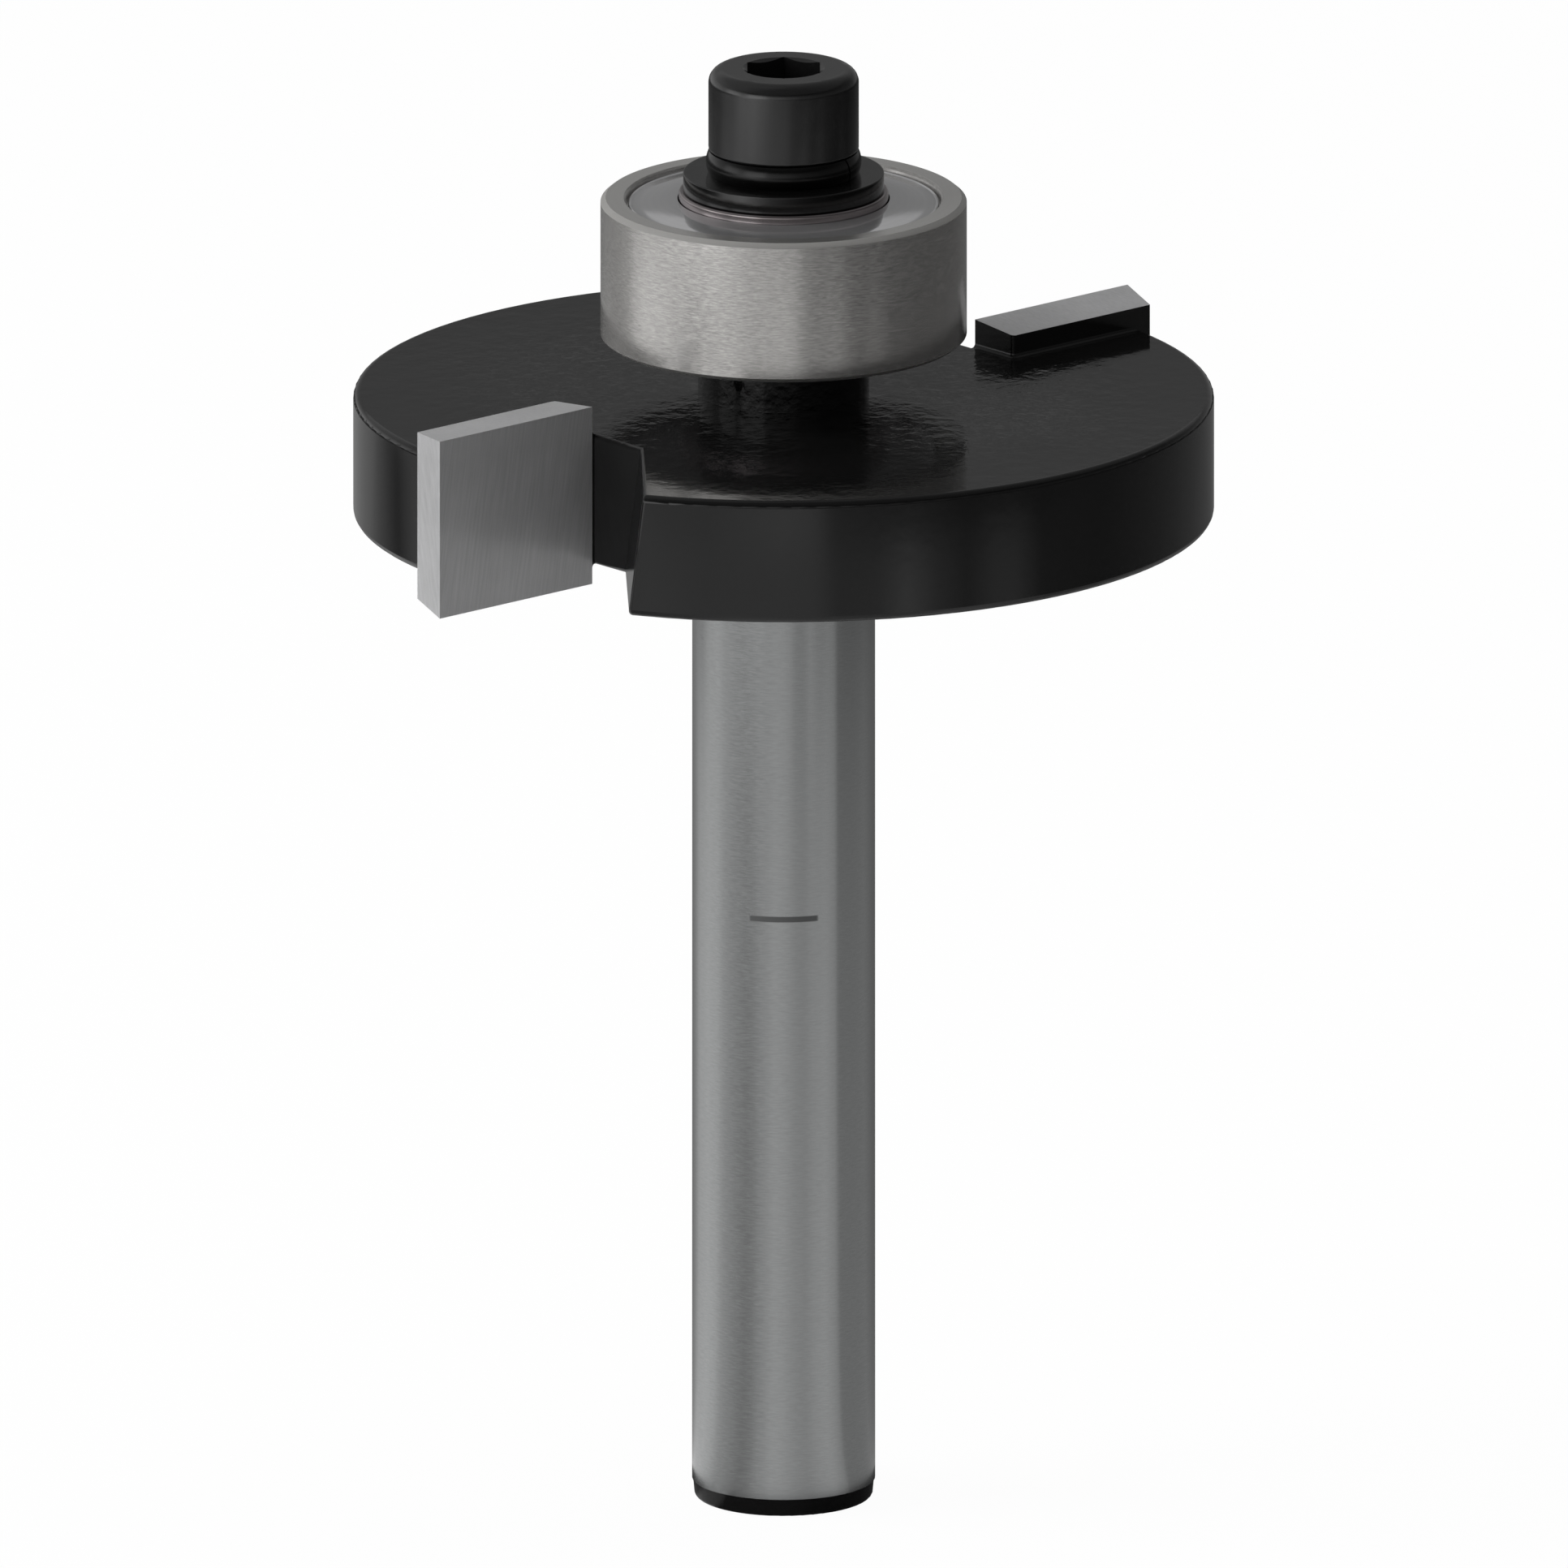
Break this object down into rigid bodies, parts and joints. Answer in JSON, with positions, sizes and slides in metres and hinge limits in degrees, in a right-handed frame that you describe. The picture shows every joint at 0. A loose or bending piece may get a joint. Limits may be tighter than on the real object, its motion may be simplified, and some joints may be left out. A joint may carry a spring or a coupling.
{
  "type": "router bit",
  "caption": "Slotting router bit: ground shank, black disc cutter with brazed carbide wings in chip gullets, and a shielded guide bearing held by a socket cap screw.",
  "frame": {"origin": "centre of the shank's end face, which is the bit's lowest point", "axes": "+Z along the spin axis from the shank's end towards the bearing and its screw, +X along the rake face of wing 1"},
  "size_m": [0.0318, 0.0298, 0.0512],
  "materials": {
    "cutter_body": "ground shank, gloss black coated disc",
    "carbide": "fine ground carbide",
    "solder": "coated solder",
    "inner_ring": "polished bearing steel",
    "outer_ring": "ground bearing steel",
    "shield": "polished pressed steel",
    "cage": "pressed steel",
    "rivets": "pressed steel",
    "balls": "polished steel",
    "flat_washer": "black oxide, satin",
    "spring_washer": "black oxide, satin",
    "cap_screw": "black oxide, satin"
  },
  "bodies": {
    "cutter": {"cutter_body": "cutter_body", "carbide_tip_1": "carbide", "carbide_tip_2": "carbide", "braze_seam_1": "solder", "braze_seam_2": "solder", "bearing_inner_ring": "inner_ring", "flat_washer": "flat_washer", "spring_washer": "spring_washer", "cap_screw": "cap_screw"},
    "guide_ring": {"bearing_outer_ring": "outer_ring", "bearing_shield_upper": "shield", "bearing_shield_lower": "shield"},
    "ball_cage": {"ball_cage_upper": "cage", "ball_cage_lower": "cage", "cage_rivets": "rivets"},
    "ball_1": {"bearing_ball_1": "balls"},
    "ball_2": {"bearing_ball_2": "balls"},
    "ball_3": {"bearing_ball_3": "balls"},
    "ball_4": {"bearing_ball_4": "balls"},
    "ball_5": {"bearing_ball_5": "balls"},
    "ball_6": {"bearing_ball_6": "balls"},
    "ball_7": {"bearing_ball_7": "balls"}
  },
  "joints": [
    {"name": "guide_spin", "type": "hinge", "parent": "cutter", "child": "guide_ring", "pos_m": [0, 0, 0.04404], "axis": [0, 0, 1], "continuous": true},
    {"name": "cage_spin", "type": "hinge", "parent": "cutter", "child": "ball_cage", "pos_m": [0, 0, 0.04404], "axis": [0, 0, 1], "continuous": true},
    {"name": "ball_spin_1", "type": "hinge", "parent": "ball_cage", "child": "ball_1", "pos_m": [0.00437, 0, 0.04404], "axis": [0, 0, 1], "continuous": true},
    {"name": "ball_spin_2", "type": "hinge", "parent": "ball_cage", "child": "ball_2", "pos_m": [0.00272, 0.00341, 0.04404], "axis": [0, 0, 1], "continuous": true},
    {"name": "ball_spin_3", "type": "hinge", "parent": "ball_cage", "child": "ball_3", "pos_m": [-0.00097, 0.00426, 0.04404], "axis": [0, 0, 1], "continuous": true},
    {"name": "ball_spin_4", "type": "hinge", "parent": "ball_cage", "child": "ball_4", "pos_m": [-0.00393, 0.00189, 0.04404], "axis": [0, 0, 1], "continuous": true},
    {"name": "ball_spin_5", "type": "hinge", "parent": "ball_cage", "child": "ball_5", "pos_m": [-0.00393, -0.00189, 0.04404], "axis": [0, 0, 1], "continuous": true},
    {"name": "ball_spin_6", "type": "hinge", "parent": "ball_cage", "child": "ball_6", "pos_m": [-0.00097, -0.00426, 0.04404], "axis": [0, 0, 1], "continuous": true},
    {"name": "ball_spin_7", "type": "hinge", "parent": "ball_cage", "child": "ball_7", "pos_m": [0.00272, -0.00341, 0.04404], "axis": [0, 0, 1], "continuous": true}
  ],
  "couplings": [
    {"joint": "cage_spin", "follows": "guide_spin", "ratio": 0.63635},
    {"joint": "ball_spin_1", "follows": "guide_spin", "ratio": 1.6971},
    {"joint": "ball_spin_2", "follows": "guide_spin", "ratio": 1.6971},
    {"joint": "ball_spin_3", "follows": "guide_spin", "ratio": 1.6971},
    {"joint": "ball_spin_4", "follows": "guide_spin", "ratio": 1.6971},
    {"joint": "ball_spin_5", "follows": "guide_spin", "ratio": 1.6971},
    {"joint": "ball_spin_6", "follows": "guide_spin", "ratio": 1.6971},
    {"joint": "ball_spin_7", "follows": "guide_spin", "ratio": 1.6971}
  ]
}
